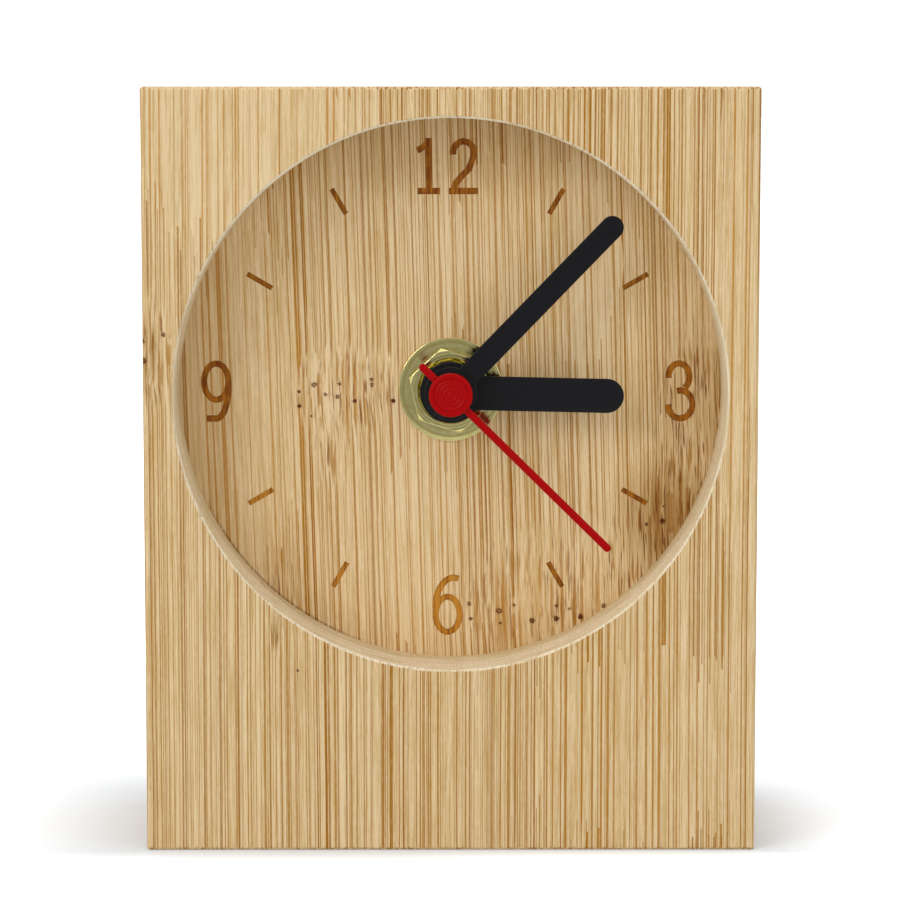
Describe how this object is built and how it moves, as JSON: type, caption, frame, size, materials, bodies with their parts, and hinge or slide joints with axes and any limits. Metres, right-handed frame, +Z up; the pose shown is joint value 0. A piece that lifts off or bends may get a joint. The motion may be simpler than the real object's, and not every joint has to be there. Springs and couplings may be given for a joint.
{
  "type": "desk clock",
  "caption": "Rectangular wooden block desk clock with a round recessed dial, hour, minute and second hands, and a battery quartz movement in a pocket at the back.",
  "frame": {"origin": "middle of the clock's base, under the middle of the block's width and depth", "axes": "+Z up, the dial faces -Y, +X to the right as seen from the front"},
  "size_m": [0.08, 0.03, 0.1],
  "materials": {
    "front_bamboo": "fine sanded bamboo with vertical fibres, matt",
    "dial_bamboo": "fine sanded bamboo, dial marks burnt brown",
    "gasket_rubber": "matt black",
    "brass": "bright, with fine turning rings",
    "case_plastic": "moulded black, fine spark texture",
    "gear_plastic": "natural moulded plastic",
    "steel": "plain bright steel",
    "copper_wire": "enamelled copper wire, closely wound",
    "board_laminate": "green laminate with solder mask",
    "black_resin": "glossy black resin drop",
    "battery_can": "plain wrapped can, no marks",
    "hand_black": "black, satin",
    "hand_red": "red, semi-gloss moulding"
  },
  "bodies": {
    "housing": {"front_board": "front_bamboo", "rear_block": "dial_bamboo", "rubber_gasket": "gasket_rubber", "brass_washer": "brass", "hex_nut": "brass", "movement_case": "case_plastic", "threaded_bushing": "brass", "case_cover": "case_plastic", "middle_plate": "gear_plastic", "rear_plate": "gear_plastic", "stator": "steel", "coil_core": "steel", "coil_bobbin": "gear_plastic", "coil_winding": "copper_wire", "circuit_board": "board_laminate", "timing_chip": "black_resin", "quartz_crystal": "steel", "small_screws": "steel", "positive_contact": "steel", "negative_contact": "steel", "battery": "battery_can"},
    "second_group": {"second_hand": "hand_red", "second_arbor": "steel", "second_wheel": "gear_plastic"},
    "intermediate": {"intermediate_wheel": "gear_plastic"},
    "rotor": {"rotor_pinion": "gear_plastic", "rotor_magnet": "steel"},
    "third": {"third_wheel": "gear_plastic"},
    "centre": {"centre_wheel": "brass"},
    "minute_group": {"minute_hand": "hand_black", "minute_pipe": "brass", "clutch_spring": "steel"},
    "motion": {"motion_wheel": "gear_plastic"},
    "hour_group": {"hour_hand": "hand_black", "hour_wheel": "gear_plastic"},
    "knob": {"setting_knob": "case_plastic"}
  },
  "joints": [
    {"name": "second_hand_turn", "type": "hinge", "parent": "housing", "child": "second_group", "pos_m": [0, 0, 0.06], "axis": [0, 1, 0], "continuous": true},
    {"name": "intermediate_turn", "type": "hinge", "parent": "housing", "child": "intermediate", "pos_m": [-0.00606, 0, 0.0635], "axis": [0, 1, 0], "continuous": true},
    {"name": "rotor_turn", "type": "hinge", "parent": "housing", "child": "rotor", "pos_m": [-0.01206, 0, 0.0635], "axis": [0, 1, 0], "continuous": true},
    {"name": "third_wheel_turn", "type": "hinge", "parent": "housing", "child": "third", "pos_m": [0.00425, 0, 0.06736], "axis": [0, 1, 0], "continuous": true},
    {"name": "centre_wheel_turn", "type": "hinge", "parent": "housing", "child": "centre", "pos_m": [0, 0, 0.06], "axis": [0, 1, 0], "continuous": true},
    {"name": "minute_hand_turn", "type": "hinge", "parent": "housing", "child": "minute_group", "pos_m": [0, 0, 0.06], "axis": [0, 1, 0], "continuous": true},
    {"name": "motion_wheel_turn", "type": "hinge", "parent": "housing", "child": "motion", "pos_m": [0.00677, 0, 0.05754], "axis": [0, 1, 0], "continuous": true},
    {"name": "hour_hand_turn", "type": "hinge", "parent": "housing", "child": "hour_group", "pos_m": [0, 0, 0.06], "axis": [0, 1, 0], "continuous": true},
    {"name": "setting_knob_turn", "type": "hinge", "parent": "housing", "child": "knob", "pos_m": [0.01415, 0, 0.05624], "axis": [0, 1, 0], "continuous": true}
  ],
  "couplings": [
    {"joint": "intermediate_turn", "follows": "second_hand_turn", "ratio": -6},
    {"joint": "rotor_turn", "follows": "second_hand_turn", "ratio": 30},
    {"joint": "third_wheel_turn", "follows": "second_hand_turn", "ratio": -0.13333},
    {"joint": "centre_wheel_turn", "follows": "second_hand_turn", "ratio": 0.016667},
    {"joint": "motion_wheel_turn", "follows": "minute_hand_turn", "ratio": -0.33333},
    {"joint": "hour_hand_turn", "follows": "minute_hand_turn", "ratio": 0.083333},
    {"joint": "setting_knob_turn", "follows": "minute_hand_turn", "ratio": 0.85714}
  ]
}
